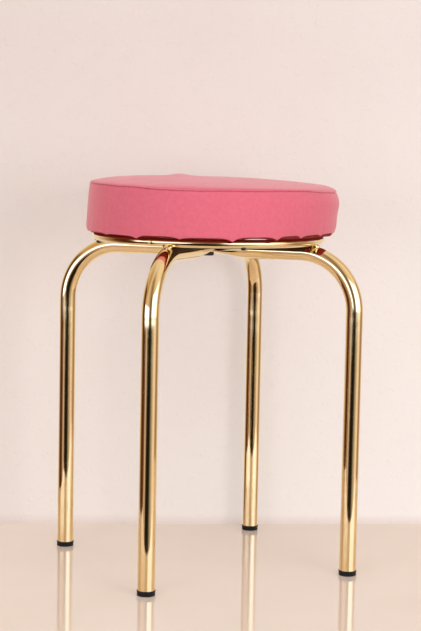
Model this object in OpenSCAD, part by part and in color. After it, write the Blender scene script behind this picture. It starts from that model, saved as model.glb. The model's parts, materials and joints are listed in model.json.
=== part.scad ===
// A round stool. Two bent tubes cross under the seat and carry a rod ring,
// and a felt-covered pad on a plywood disc is screwed to the ring from below.
// Millimetres, +Z up. The origin is on the floor, under the middle of the seat.
// The two tubes run along X and along Y, and the -Y leg is called the front one.

/* [Leg frames] */
// Outside diameter of the leg tube
leg_tube_d = 20; // [17:0.5:22]
// Wall of the leg tube
leg_tube_wall = 1.5; // [1:0.1:2]
// Height of the top of the level tubes
frame_top_z = 394; // [300:0.5:640]
// Radius of each bend, to the middle of the tube
leg_bend_r = 68; // [50:1:75]

/* [Crossing] */
// Space left between the two walls of a tube where it is pressed flat
press_gap = 0.2; // [0.1:0.1:1]
// How much longer the pressed flat is than the tube that lies across it is wide, at each end
press_margin = 1.2; // [0.5:0.1:4]
// Distance from the crossing at which a pressed tube is round again
press_end_x = 52; // [40:0.5:70]
// Diameter of the bolt through the crossing
bolt_d = 8; // [6:1:10]
// Width across the flats of the bolt's head and of the nut
bolt_head_af = 13; // [12:0.5:17]
// Height of the bolt's head
bolt_head_h = 5.3; // [4:0.1:7]
// Height of the nut
nut_h = 6.5; // [5:0.1:8]
// Length of thread past the nut
bolt_proud = 1.7; // [0.5:0.1:3]
// Outside diameter of the washer under the nut
washer_d = 16; // [15:0.5:24]
// Thickness of the washer
washer_t = 1.6; // [1:0.1:2.5]

/* [Seat ring] */
// Diameter of the ring's rod
ring_rod_d = 10; // [8:0.5:12]
// How far the ring lies inside the edge of the plywood disc
ring_inset = 5.5; // [3:0.5:10]
// How far the middle of the rod lies past the start of the tubes' bends
ring_past_bend = 18.5; // [0:0.5:24]
// How far the ring's joint is turned from the front leg, in degrees
ring_turn = -8; // [-20:1:20]
// Width of the weld that closes the ring
ring_butt_w = 1.2; // [0.8:0.1:3]
// How far that weld stands proud of the rod
ring_butt_crown = 0.2; // [0.1:0.1:0.5]
// Diameter of the weld between the ring and a tube
ring_weld_d = 11; // [8:0.5:14]
// Height of the weld between the ring and a tube
ring_weld_h = 4.4; // [3.5:0.1:6]

/* [Foot caps] */
// Height of the cap's flange, from the floor to the end of the tube
cap_flange_h = 6; // [4:0.1:12]
// How far the flange stands out past the tube
cap_flange_step = 0.5; // [0.2:0.1:2]
// How far the rim at the top of the flange stands out past the flange
cap_rim_step = 0.3; // [0.1:0.1:1]
// Height of that rim
cap_rim_h = 0.9; // [0.5:0.1:2]
// Length of the plug inside the tube
cap_plug_l = 16; // [12:0.5:24]
// Thickness of the plug's wall
cap_plug_wall = 2; // [1:0.1:2.5]

/* [Seat] */
// Diameter of the plywood disc
board_d = 292; // [250:1:380]
// Thickness of the plywood disc
board_t = 12; // [9:0.5:18]
// Height of the foam's edge, from the disc to the seam
foam_edge_h = 43; // [25:0.5:70]
// Height of the seat's crown above the seam
crown_h = 15.5; // [8:0.5:30]
// Thickness of the felt cover
felt_t = 1.6; // [1:0.1:2]
// How far the seam stands out past the disc
seam_overhang = 4.5; // [2.5:0.1:8]
// How far the side of the cover swells between its edges
band_swell = 4.4; // [1:0.1:8]
// Width of the felt that is turned under the disc
hem_w = 24; // [22:0.5:36]
// Number of gathers along the lower edge
gather_n = 18; // [12:1:30]
// How far a gather hangs below the felt under the disc
gather_drop = 1.6; // [0.5:0.1:3]
// Length of the seam's allowance inside the cover
seam_allowance_l = 8; // [4:0.5:12]
// Diameter of the sewing thread
thread_d = 0.6; // [0.4:0.1:1]

/* [Seat fixings] */
// Diameter of the wood screws
screw_d = 4; // [3:0.5:4.5]
// Diameter of a screw's head
screw_head_d = 7; // [6.5:0.5:9]
// Height of a screw's head
screw_head_h = 2.6; // [2:0.1:4]
// Depth of the screw in the disc
screw_bite = 8; // [6:0.5:8.5]
// Number of staples in the hem
staple_n = 24; // [12:1:32]
// Width of a staple
staple_w = 10; // [6:0.5:12]
// Length of a staple's legs
staple_leg_l = 8; // [5:0.5:10]

/* [Hidden] */

// Steps round a circle, and round the large circles
$fn = 96;
large_fn = 360;

// Turns about Z that bring a piece on +X to each leg
front_turn = -90;
right_turn = 0;
back_turn = 90;
left_turn = 180;

// Clearances and the overrun of every cut
cut_over = 1;
soft_gap = 0.3;
bolt_gap = 0.2;
thread_gap = 0.1;
screw_gap = 0.3;
weld_gap = 0.2;
plug_gap = 0.15;

// The radii of the disc and the ring, which the tubes' level parts follow
board_r = board_d / 2;
rod_r = ring_rod_d / 2;
ring_r = board_r - ring_inset - rod_r;
level_half_l = ring_r - ring_past_bend;

// The middle line of a leg frame
tube_r = leg_tube_d / 2;
frame_z = frame_top_z - tube_r;
bend_z = frame_z - leg_bend_r;
foot_circle_r = level_half_l + leg_bend_r;

// The pressed part of a tube: its wall keeps its length round, so the tube gets wider
press_t = 2 * leg_tube_wall + press_gap;
press_straight = PI * (leg_tube_d - press_t) / 4;
press_half_w = press_straight + press_t / 2;
press_half_l = press_half_w + press_margin;
press_taper_l = press_end_x - press_half_l;
press_step = press_gap / 4;
press_steps = 5;
section_n = 24;

// The bolt, from its head under the lower tube to its end above the nut
head_z = frame_z - press_t - bolt_head_h;
washer_z = frame_z + press_t;
nut_z = washer_z + washer_t;
head_chamfer = bolt_head_h / 6;

// The ring lies on the bends of the tubes
ring_lift = leg_bend_r + tube_r + weld_gap + rod_r;
ring_z = bend_z + sqrt(ring_lift * ring_lift - ring_past_bend * ring_past_bend);
ring_top_z = ring_z + rod_r;
ring_bottom_z = ring_z - rod_r;
butt_angle = 360 * ring_butt_w / (2 * PI * ring_r);
weld_lean = asin(ring_past_bend / ring_lift);
screw_turn = ring_turn + 45;

// Heights of the seat's layers
hem_z = ring_top_z + soft_gap;
board_z = hem_z + felt_t + soft_gap;
board_top_z = board_z + board_t;
seam_z = board_top_z + foam_edge_h;

// Radii of the seat's layers
board_ease = board_t / 10;
band_foot_r = board_r + soft_gap + felt_t;
seam_r = board_r + seam_overhang;
hem_r = band_foot_r - hem_w;
groove_h = thread_d + 2 * thread_gap;
crown_steps = 12;
band_steps = 14;

// The gathers: arches between points along the lower edge, outside the ring
gather_in_r = ring_r + rod_r + soft_gap;
gather_rise = felt_t / 4;
gather_depth = gather_drop + gather_rise;
gather_half_w = band_foot_r * sin(180 / gather_n);
gather_arch_r = (gather_half_w * gather_half_w + gather_depth * gather_depth) / (2 * gather_depth);

// Small sizes of the fixings
spot_depth = screw_head_h / 4;
spot_z = ring_bottom_z + spot_depth;
screw_tip_z = board_z + screw_bite;
screw_point_l = screw_d;
recess_w = screw_head_d / 7;
recess_l = screw_head_d * 0.6;
recess_h = screw_head_h * 0.55;
staple_wire_w = 1.2;
staple_wire_t = 0.7;
staple_r = hem_r + hem_w / 4;

// A point of the round tube's section at angle a
function round_point(a, r) = [r * cos(a), r * sin(a)];

// The same point when the section is a flat one with straight faces of half width s and ends of radius r
function flat_point(a, r, s) =
    let (side = cos(a) < 0 ? -1 : 1, up = sin(a) < 0 ? -1 : 1, b = asin(abs(sin(a))))
    b <= 45 ? [side * (s + r * cos(2 * b)), up * r * sin(2 * b)] : [side * s * (90 - b) / 45, up * r];

// How far a section at x is pressed: 1 on the flat, falling to 0 where the tube is round
function pressed(x) = pow(1 - max(abs(x) - press_half_l, 0) / press_taper_l, 2);

// One section of the pressed tube, inset by its wall for the inside, with the flat raised by lift.
// Its many sides stay within the wall of the round tube that it meets.
function section(x, inset, lift) =
    let (
        u = pressed(x),
        outside_r = tube_r - press_step,
        inside_r = (tube_r - inset + press_step) / cos(180 / section_n),
        r = inset > 0 ? inside_r : outside_r
    )
    [for (k = [0 : section_n - 1])
        let (
            a = 360 * k / section_n,
            p = (1 - u) * round_point(a, r) + u * flat_point(a, press_t / 2 - inset, press_straight)
        )
        [x, p[0], frame_z + lift * u + p[1]]];

function mean(points) = [for (k = [0 : 2]) [for (p = points) p[k]] * [for (p = points) 1] / len(points)];

// A closed skin over a row of sections with the same number of points
module skin(rows) {
    n = len(rows[0]);
    m = len(rows);
    points = concat([for (row = rows) each row], [mean(rows[0]), mean(rows[m - 1])]);
    sides = [for (i = [0 : m - 2], k = [0 : n - 1])
        let (j = (k + 1) % n)
        each [[i * n + k, (i + 1) * n + k, i * n + j], [i * n + j, (i + 1) * n + k, (i + 1) * n + j]]];
    ends = [for (k = [0 : n - 1])
        let (j = (k + 1) % n)
        each [[m * n, k, j], [m * n + 1, (m - 1) * n + j, (m - 1) * n + k]]];
    polyhedron(points = points, faces = concat(sides, ends), convexity = 4);
}

// The middle of a leg frame, pressed flat, hollow as far as its walls stand apart
module pressed_middle(lift) {
    out_x = [for (k = [0 : press_steps]) press_half_l + press_taper_l * k / press_steps];
    left_hollow = [for (k = [1 : press_steps]) section(-out_x[k], leg_tube_wall, lift)];
    left_outside = [for (k = [press_steps : -1 : 0]) section(-out_x[k], 0, lift)];
    right_outside = [for (k = [0 : press_steps]) section(out_x[k], 0, lift)];
    right_hollow = [for (k = [press_steps : -1 : 1]) section(out_x[k], leg_tube_wall, lift)];
    skin(concat(left_hollow, left_outside, right_outside, right_hollow));
}

// The round part of one leg: level along +X, round the bend and down to the cap, solid or hollow
module leg_tube(hollow) {
    module tube_section() {
        difference() {
            circle(d = leg_tube_d);
            if (hollow)
                circle(d = leg_tube_d - 2 * leg_tube_wall);
        }
    }
    translate([press_end_x, 0, frame_z])
        rotate([0, 90, 0])
            linear_extrude(level_half_l - press_end_x)
                tube_section();
    translate([level_half_l, 0, bend_z])
        rotate([90, 0, 0])
            rotate_extrude(angle = 90, $fn = large_fn)
                translate([leg_bend_r, 0])
                    tube_section();
    translate([foot_circle_r, 0, cap_flange_h])
        linear_extrude(bend_z - cap_flange_h)
            tube_section();
}

// A leg frame along X, with a bolt hole through its pressed flat
module leg_frame(lift) {
    difference() {
        union() {
            pressed_middle(lift);
            for (turn = [right_turn, left_turn])
                rotate([0, 0, turn])
                    leg_tube(true);
        }
        translate([0, 0, frame_z - leg_tube_d])
            cylinder(d = bolt_d + 2 * bolt_gap, h = 2 * leg_tube_d);
    }
}

module lower_leg_frame() {
    color("goldenrod")
        leg_frame(-press_t / 2);
}

module upper_leg_frame() {
    color("goldenrod")
        rotate([0, 0, back_turn])
            leg_frame(press_t / 2);
}

// A hexagon with its upper or lower corners turned off
module hexagon(h, chamfer_top) {
    across = bolt_head_af / cos(30);
    flip = chamfer_top ? 0 : 1;
    intersection() {
        cylinder(d = across, h = h, $fn = 6);
        translate([0, 0, flip * h])
            mirror([0, 0, flip])
                rotate_extrude()
                    polygon([
                        [0, 0],
                        [across / 2, 0],
                        [across / 2, h - head_chamfer],
                        [bolt_head_af / 2 - head_chamfer / 2, h],
                        [0, h]
                    ]);
    }
}

module crossing_bolt() {
    color("dimgray") {
        translate([0, 0, head_z])
            hexagon(bolt_head_h, false);
        translate([0, 0, head_z + bolt_head_h / 2])
            cylinder(d = bolt_d, h = nut_z + nut_h + bolt_proud - head_z - bolt_head_h / 2);
    }
}

module crossing_washer() {
    color("silver")
        translate([0, 0, washer_z])
            difference() {
                cylinder(d = washer_d, h = washer_t);
                translate([0, 0, -cut_over])
                    cylinder(d = bolt_d + 2 * bolt_gap, h = washer_t + 2 * cut_over);
            }
}

module crossing_nut() {
    color("silver")
        translate([0, 0, nut_z])
            difference() {
                hexagon(nut_h, true);
                translate([0, 0, -cut_over])
                    cylinder(d = bolt_d + 2 * thread_gap, h = nut_h + 2 * cut_over);
            }
}

// Part of the ring's rod, of diameter d, from the joint's middle over angle a
module ring_rod(d, from, a) {
    translate([0, 0, ring_z])
        rotate([0, 0, front_turn + ring_turn + from])
            rotate_extrude(angle = a, $fn = large_fn)
                translate([ring_r, 0])
                    circle(d = d);
}

// Brings a piece on +X to each screw
module at_screws() {
    for (turn = [0 : 90 : 270])
        rotate([0, 0, front_turn + screw_turn + turn])
            translate([ring_r, 0, 0])
                children();
}

module seat_ring() {
    color("goldenrod")
        difference() {
            ring_rod(ring_rod_d, butt_angle / 2, 360 - butt_angle);
            at_screws() {
                translate([0, 0, ring_bottom_z - cut_over])
                    cylinder(d = screw_d + 2 * screw_gap, h = ring_rod_d + 2 * cut_over);
                translate([0, 0, ring_bottom_z - cut_over])
                    cylinder(d = screw_head_d + 2 * screw_gap, h = spot_depth + cut_over);
            }
        }
}

module ring_butt_weld() {
    color("goldenrod")
        ring_rod(ring_rod_d + 2 * ring_butt_crown, -butt_angle / 2, butt_angle);
}

// The weld where the ring lies on a tube, square to the tube there
module ring_weld(turn) {
    color("goldenrod")
        difference() {
            rotate([0, 0, turn])
                translate([level_half_l, 0, bend_z])
                    rotate([0, weld_lean, 0])
                        translate([0, 0, leg_bend_r + tube_r + (weld_gap - ring_weld_h) / 2])
                            cylinder(d = ring_weld_d, h = ring_weld_h);
            translate([0, 0, ring_z])
                rotate_extrude($fn = large_fn)
                    translate([ring_r, 0])
                        circle(d = ring_rod_d);
            rotate([0, 0, turn])
                leg_tube(false);
        }
}

// A cap with a finned plug in the tube, flat on the floor
module foot_cap(turn) {
    flange_r = tube_r + cap_flange_step;
    fin_r = tube_r - leg_tube_wall - plug_gap;
    plug_r = fin_r - cap_plug_wall / 3;
    fin_pitch = cap_plug_l / 4;
    fin_h = fin_pitch / 3;
    top = cap_flange_h + cap_plug_l;
    fins = [for (k = [1 : 3])
        let (z = cap_flange_h + k * fin_pitch)
        each [[plug_r, z - fin_h], [fin_r, z], [plug_r, z]]];
    color("black")
        rotate([0, 0, turn])
            translate([foot_circle_r, 0, 0])
                rotate_extrude()
                    polygon(concat(
                        [
                            [0, 0],
                            [flange_r - cap_rim_step, 0],
                            [flange_r, cap_rim_h],
                            [flange_r, cap_flange_h - cap_rim_h],
                            [flange_r + cap_rim_step, cap_flange_h - cap_rim_h],
                            [flange_r + cap_rim_step, cap_flange_h],
                            [plug_r, cap_flange_h]
                        ],
                        fins,
                        [
                            [plug_r, top],
                            [plug_r - cap_plug_wall, top],
                            [plug_r - cap_plug_wall, cap_flange_h],
                            [0, cap_flange_h]
                        ]
                    ));
}

// Height of the crown at share t of its radius, as a share of its height: a low dome that rolls over
function crown_share(t) = 0.4 * (1 - pow(t, 1.3)) + 0.6 * sqrt(1 - pow(t, 8));

// The crown's outline, of radius r and height h above z, from the middle to the rim
function crown_points(r, h, z) = [for (k = [0 : crown_steps])
    let (t = 1 - pow(1 - k / crown_steps, 2))
    [t * r, z + h * crown_share(t)]];

// Radius of the cover's side at share t of the way from the lower edge to the seam
function band_radius(t) = band_foot_r + t * (seam_r - band_foot_r) + band_swell * (1 - pow(2 * t - 1, 4));

// The side's outline between two heights, inset by a wall, from the bottom up
function band_points(inset, from_z, to_z) = [for (k = [0 : band_steps])
    let (z = from_z + (to_z - from_z) * k / band_steps)
    [band_radius((z - hem_z) / (seam_z - hem_z)) - inset, z]];

function reversed(list) = [for (k = [len(list) - 1 : -1 : 0]) list[k]];

// The legs of all staples, grown by gap, from z up
module staple_legs(gap, z, h) {
    for (k = [0 : staple_n - 1], side = [-1, 1])
        rotate([0, 0, 360 * (k + 0.5) / staple_n])
            translate([
                staple_r - staple_wire_w / 2 - gap,
                side * (staple_w - staple_wire_t) / 2 - staple_wire_t / 2 - gap,
                z
            ])
                cube([staple_wire_w + 2 * gap, staple_wire_t + 2 * gap, h]);
}

module seat_board() {
    cut_z = board_z - cut_over;
    color("burlywood")
        difference() {
            translate([0, 0, board_z])
                rotate_extrude($fn = large_fn)
                    polygon([
                        [0, 0],
                        [board_r - board_ease, 0],
                        [board_r, board_ease],
                        [board_r, board_t - board_ease],
                        [board_r - board_ease, board_t],
                        [0, board_t]
                    ]);
            at_screws()
                translate([0, 0, cut_z])
                    cylinder(d = screw_d + 2 * thread_gap, h = screw_tip_z + thread_gap - cut_z);
            staple_legs(thread_gap, cut_z, hem_z + staple_leg_l + thread_gap - cut_z);
        }
}

module foam_pad() {
    side_r = seam_r - 2 * felt_t - 2 * soft_gap;
    shoulder_z = seam_z - seam_allowance_l - soft_gap;
    bottom_z = board_top_z + soft_gap;
    color("lightyellow")
        rotate_extrude($fn = large_fn)
            polygon(concat(
                [[0, bottom_z]],
                band_points(felt_t + soft_gap, bottom_z, shoulder_z),
                [[side_r, shoulder_z]],
                reversed(crown_points(side_r, crown_h - felt_t - soft_gap, seam_z))
            ));
}

// The round top of the cover. Its edge is turned down inside the side band as the seam's allowance.
module cover_top_panel() {
    rim_z = seam_z + groove_h / 2;
    inside_r = seam_r - felt_t;
    turned_r = inside_r - soft_gap;
    color("palevioletred")
        rotate_extrude($fn = large_fn)
            polygon(concat(
                crown_points(seam_r, crown_h - groove_h / 2, rim_z),
                [
                    [turned_r, rim_z],
                    [turned_r, seam_z - seam_allowance_l],
                    [turned_r - felt_t, seam_z - seam_allowance_l]
                ],
                reversed(crown_points(turned_r - felt_t, crown_h - groove_h / 2 - felt_t, rim_z))
            ));
}

// The side of the cover, drawn round the disc's edge, turned under it and gathered
module cover_side_band() {
    rim_z = seam_z - groove_h / 2;
    round_r = felt_t / 2;
    drop_z = hem_z - gather_drop;
    arch_l = band_foot_r - gather_in_r + 2 * cut_over;
    color("palevioletred")
        difference() {
            rotate_extrude($fn = large_fn)
                polygon(concat(
                    [
                        [hem_r, hem_z],
                        [gather_in_r, hem_z],
                        [gather_in_r + gather_drop, drop_z],
                        [band_foot_r - round_r, drop_z]
                    ],
                    band_points(0, hem_z, rim_z),
                    reversed(band_points(felt_t, hem_z + felt_t, rim_z)),
                    [
                        [board_r + soft_gap, hem_z + felt_t],
                        [hem_r, hem_z + felt_t]
                    ]
                ));
            for (k = [0 : gather_n - 1])
                rotate([0, 0, 360 * k / gather_n])
                    translate([gather_in_r, 0, hem_z + gather_rise - gather_arch_r])
                        rotate([0, 90, 0])
                            cylinder(r = gather_arch_r, h = arch_l, $fn = large_fn);
            at_screws()
                translate([0, 0, hem_z - cut_over])
                    cylinder(d = screw_d + 2 * screw_gap, h = felt_t + 2 * cut_over);
            staple_legs(thread_gap, hem_z - cut_over, felt_t + 2 * cut_over);
        }
}

module seam_thread() {
    color("mediumvioletred")
        translate([0, 0, seam_z])
            rotate_extrude($fn = large_fn)
                translate([seam_r - felt_t / 2, 0])
                    circle(d = thread_d);
}

// A pan-head wood screw, driven upwards through the ring and the felt into the disc
module seat_screw(turn) {
    color("dimgray")
        rotate([0, 0, front_turn + screw_turn + turn])
            translate([ring_r, 0, 0])
                difference() {
                    rotate_extrude()
                        polygon([
                            [0, spot_z - screw_head_h],
                            [screw_head_d / 4, spot_z - screw_head_h],
                            [screw_head_d * 0.42, spot_z - screw_head_h * 0.8],
                            [screw_head_d / 2, spot_z - screw_head_h * 0.4],
                            [screw_head_d / 2, spot_z],
                            [screw_d / 2, spot_z],
                            [screw_d / 2, screw_tip_z - screw_point_l],
                            [0, screw_tip_z]
                        ]);
                    for (quarter = [0, 90])
                        rotate([0, 0, quarter])
                            translate([-recess_l / 2, -recess_w / 2, spot_z - screw_head_h - cut_over])
                                cube([recess_l, recess_w, recess_h + cut_over]);
                }
}

module hem_staples() {
    color("silver") {
        for (k = [0 : staple_n - 1])
            rotate([0, 0, 360 * (k + 0.5) / staple_n])
                translate([staple_r - staple_wire_w / 2, -staple_w / 2, hem_z - staple_wire_t])
                    cube([staple_wire_w, staple_w, staple_wire_t]);
        staple_legs(0, hem_z - staple_wire_t, staple_wire_t + staple_leg_l);
    }
}

lower_leg_frame();
upper_leg_frame();
crossing_bolt();
crossing_washer();
crossing_nut();
seat_ring();
ring_butt_weld();
ring_weld(front_turn);  // ring_weld_front
ring_weld(right_turn);  // ring_weld_right
ring_weld(back_turn);  // ring_weld_back
ring_weld(left_turn);  // ring_weld_left
foot_cap(front_turn);  // foot_cap_front
foot_cap(right_turn);  // foot_cap_right
foot_cap(back_turn);  // foot_cap_back
foot_cap(left_turn);  // foot_cap_left
seat_board();
foam_pad();
cover_top_panel();
cover_side_band();
seam_thread();
seat_screw(0);  // seat_screw_front_right
seat_screw(90);  // seat_screw_back_right
seat_screw(180);  // seat_screw_back_left
seat_screw(270);  // seat_screw_front_left
hem_staples();
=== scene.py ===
# %% [markdown]
# # A round stool: bent gold tubes, a rod ring and a pink felt seat
#
# Two bent tubes cross under the seat and are pressed flat where they meet. A rod ring lies
# on their bends, and a round pad is screwed to the ring from below. The solids come from the
# CAD model as a fixed frame in metres, so each piece here goes where its solid already is.

# %% Load the frame
import json
import math

import bmesh
import bpy
import numpy as np
from mathutils import Matrix, Vector
from mathutils.kdtree import KDTree

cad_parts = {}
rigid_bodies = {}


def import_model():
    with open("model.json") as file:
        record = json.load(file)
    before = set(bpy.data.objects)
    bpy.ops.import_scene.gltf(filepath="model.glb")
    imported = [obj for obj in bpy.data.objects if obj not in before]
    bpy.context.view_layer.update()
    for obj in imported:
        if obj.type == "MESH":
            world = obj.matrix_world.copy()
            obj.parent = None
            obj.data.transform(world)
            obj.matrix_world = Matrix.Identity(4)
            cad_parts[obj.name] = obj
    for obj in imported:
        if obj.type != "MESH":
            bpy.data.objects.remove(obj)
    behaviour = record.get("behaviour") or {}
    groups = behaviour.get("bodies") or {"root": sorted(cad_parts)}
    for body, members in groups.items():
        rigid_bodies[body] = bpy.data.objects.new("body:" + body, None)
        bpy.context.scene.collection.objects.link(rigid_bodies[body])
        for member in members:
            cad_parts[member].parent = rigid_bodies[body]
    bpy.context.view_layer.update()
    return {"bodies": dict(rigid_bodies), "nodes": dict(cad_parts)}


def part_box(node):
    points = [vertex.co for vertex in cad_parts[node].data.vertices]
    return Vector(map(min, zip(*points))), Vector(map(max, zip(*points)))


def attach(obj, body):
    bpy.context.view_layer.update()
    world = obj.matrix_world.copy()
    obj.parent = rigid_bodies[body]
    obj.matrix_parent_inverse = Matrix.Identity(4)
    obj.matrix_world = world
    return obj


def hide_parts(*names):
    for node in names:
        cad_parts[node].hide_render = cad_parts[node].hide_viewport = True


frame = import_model()
BODY = list(frame["bodies"])[0]
MM = 0.001
print("Nodes:", len(frame["nodes"]), "body:", BODY)

# %% [markdown]
# ## The camera
#
# The camera comes first, because every later look is judged through it. Its place, tilt and
# focal length were found by matching the feet, the ring and the seam. A camera is defined by
# three axes: right, up and the direction opposite to its view.

# %% Set the camera
IMAGE_W, IMAGE_H = 421, 631
FOCAL_PX = 1725
CAMERA_AZIMUTH = math.radians(19.71)
CAMERA_PITCH = math.radians(5.63)
CAMERA_ROLL = math.radians(1.12)
CAMERA_DISTANCE, CAMERA_SIDE, CAMERA_HEIGHT = 2.087, 0.0045, 0.508

scene = bpy.context.scene
scene.view_settings.view_transform = "Standard"


def new_object(name, data):
    """Puts a mesh, a lamp or a camera into the scene as an object."""
    made = bpy.data.objects.new(name, data)
    scene.collection.objects.link(made)
    return made


turn = Matrix.Rotation(CAMERA_AZIMUTH, 3, "Z")
tilt = Matrix.Rotation(math.pi / 2 - CAMERA_PITCH, 3, "X")
axes = turn @ tilt @ Matrix.Rotation(CAMERA_ROLL, 3, "Z")
CAMERA_RIGHT, CAMERA_UP, CAMERA_BACK = axes.col
VIEW_SIDE = Vector((math.cos(CAMERA_AZIMUTH), math.sin(CAMERA_AZIMUTH), 0))
VIEW_FRONT = Vector((math.sin(CAMERA_AZIMUTH), -math.cos(CAMERA_AZIMUTH), 0))

camera_data = bpy.data.cameras.new("photo_camera")
camera_data.sensor_width = 36
camera_data.lens = FOCAL_PX * camera_data.sensor_width / IMAGE_H
camera_data.clip_start, camera_data.clip_end = 0.05, 50
camera = new_object("photo_camera", camera_data)
scene.camera = camera
CAMERA_PLACE = CAMERA_SIDE * VIEW_SIDE + CAMERA_DISTANCE * VIEW_FRONT
CAMERA_PLACE.z = CAMERA_HEIGHT
camera.matrix_world = Matrix.Translation(CAMERA_PLACE) @ axes.to_4x4()
print("Lens in mm:", round(camera_data.lens, 1))

# %% [markdown]
# ## Sizes that the pieces share
#
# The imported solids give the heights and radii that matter. The few sizes that a box can't
# show, such as the radius of a bend, are written here once, in millimetres.

# %% Read the sizes
TUBE_R, TUBE_WALL, BEND_R = 10 * MM, 1.5 * MM, 68 * MM
PRESS_T, PRESS_END = 3.2 * MM, 52 * MM
tube_low, tube_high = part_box("lower_leg_frame")
LEVEL_Z = tube_high.z - TUBE_R
FOOT_R = tube_high.x - TUBE_R
FOOT_TOP = tube_low.z
BEND_Z = LEVEL_Z - BEND_R
LEVEL_HALF = FOOT_R - BEND_R

ring_low, ring_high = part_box("seat_ring")
ROD_R = (ring_high.z - ring_low.z) / 2
RING_R = ring_high.x - ROD_R
RING_Z = (ring_high.z + ring_low.z) / 2
RING_GAP = 0.2 * MM  # between the ring and the tubes, filled by the welds

board_low, board_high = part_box("seat_board")
TOP_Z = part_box("cover_top_panel")[1].z
BOARD_R = board_high.x
HEM_Z = 402.417 * MM  # the lower face of the felt under the disc
SEAM_Z = board_high.z + 43 * MM
SEAM_R = BOARD_R + 2 * MM
FOOT_OF_BAND_R = BOARD_R + 1.9 * MM
HEM_R = FOOT_OF_BAND_R - 24 * MM
LEG_ANGLES = {"front": -90, "right": 0, "back": 90, "left": 180}
JOINT_ANGLE, SCREW_ANGLE = -98, -53
print("Level tubes at", round(LEVEL_Z / MM, 1), "ring at", round(RING_Z / MM, 1))
print("Seam at", round(SEAM_Z / MM, 1), "top at", round(TOP_Z / MM, 1))

# %% [markdown]
# ## Meshes from rows of points
#
# A tube, a ring, a cap and the pad are all skins over rows of points: each row is one section,
# and each pair of neighbouring rows is joined by four-sided faces. One helper makes them all.
# It also turns the faces outwards, closes poles, and lays a UV map of real lengths along the
# skin, so that a polish mark or a weave can follow the surface.


# %% A skin over rows of points
def signed_volume(points, faces):
    """Six times the volume inside the faces: negative when they point inwards."""
    total = 0.0
    for face in faces:
        a = points[face[0]]
        for j, k in zip(face[1:-1], face[2:]):
            total += float(np.dot(a, np.cross(points[j], points[k])))
    return total


def skin(name, rows, ring=False, sharp=40):
    """A closed mesh over rows of points (m, n, 3). ring joins the last row to the first."""
    m, n = rows.shape[:2]
    points = rows.reshape(-1, 3)
    i, k = np.meshgrid(np.arange(m if ring else m - 1), np.arange(n), indexing="ij")
    j, q = (i + 1) % m, (k + 1) % n
    faces = np.stack([i * n + k, i * n + q, j * n + q, j * n + k], -1).reshape(-1, 4)
    steps = np.linalg.norm(np.diff(rows, axis=0), axis=2).mean(1)
    length = np.concatenate([[0], np.cumsum(steps), [steps.sum()]])
    u = np.stack([k, k + 1, k + 1, k], -1) / n
    v = length[np.stack([i, i, i + 1, i + 1], -1)]
    uv = np.stack([u, v], -1).reshape(-1, 4, 2)
    faces, uv = faces.tolist(), uv.tolist()
    if not ring:
        for row in (0, m - 1):
            if np.ptp(rows[row], axis=0).max() > 1e-6:
                order = list(range(n)) if row else list(range(n))[::-1]
                faces.append([row * n + s for s in order])
                uv.append([[s / n, float(length[row])] for s in order])
    if signed_volume(points, faces) < 0:
        faces, uv = [f[::-1] for f in faces], [f[::-1] for f in uv]
    mesh = bpy.data.meshes.new(name)
    mesh.from_pydata(points.tolist(), [], faces)
    layer = mesh.uv_layers.new(name="Along")
    layer.data.foreach_set("uv", np.concatenate([np.ravel(f) for f in uv]))
    bm = bmesh.new()
    bm.from_mesh(mesh)
    bmesh.ops.remove_doubles(bm, verts=bm.verts, dist=1e-7)
    bm.to_mesh(mesh)
    bm.free()
    mesh.shade_smooth()
    mesh.set_sharp_from_angle(angle=math.radians(sharp))
    return new_object(name, mesh)


def spin_rows(profile, count, centre=(0, 0)):
    """Rows of points made by turning a profile of (radius, height) about a vertical axis."""
    r, z = np.asarray(profile, float).T
    a = np.linspace(0, 2 * math.pi, count, endpoint=False)
    x = centre[0] + r[:, None] * np.cos(a)
    y = centre[1] + r[:, None] * np.sin(a)
    return np.stack([x, y, np.repeat(z[:, None], count, 1)], -1)


def dress(piece, material, slot, *nodes):
    """Gives a finished piece its material and its body, and hides the nodes it stands for. The
    slot argument is not used.
    """
    piece.data.materials.clear()
    piece.data.materials.append(material)
    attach(piece, BODY)
    if nodes:
        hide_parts(*nodes)
    print(piece.name, "has", len(piece.data.polygons), "faces")
    return piece


# %% [markdown]
# ## Materials from nodes
#
# Every finish is a Principled shader. Its colour, roughness and bump come from textures on
# object coordinates or on the piece's own UV map, at the real scale in metres. Numbers that
# are the same all over a surface stand on the shader itself.


# %% Small helpers for node trees
def set_input(tree, socket, value):
    """Links an input to another socket, or sets it. A colour may be just three numbers."""
    if isinstance(value, bpy.types.NodeSocket):
        tree.links.new(value, socket)
    elif socket.type == "RGBA" and len(value) == 3:
        socket.default_value = (*value, 1)
    else:
        socket.default_value = value


def add(tree, kind, inputs=None, output=0, **settings):
    """Adds a node with its settings and inputs, and gives one output, or all for None."""
    node = tree.nodes.new(kind)
    for key, value in settings.items():
        setattr(node, key, value)
    for key, value in (inputs or {}).items():
        set_input(tree, node.inputs[key], value)
    return node.outputs if output is None else node.outputs[output]


def new_material(name):
    material = bpy.data.materials.new(name)
    material.use_nodes = True
    return material, material.node_tree, material.node_tree.nodes["Principled BSDF"]


def finished(material, **values):
    """Sets or links inputs of the material's shader: Base_Color is its input Base Color."""
    tree = material.node_tree
    for key, value in values.items():
        set_input(tree, tree.nodes["Principled BSDF"].inputs[key.replace("_", " ")], value)
    return material


def object_space(tree, scale=(1, 1, 1)):
    """Object coordinates in metres, stretched by scale."""
    coordinates = add(tree, "ShaderNodeTexCoord", output="Object")
    return add(tree, "ShaderNodeMapping", {"Vector": coordinates, "Scale": scale})


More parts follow.
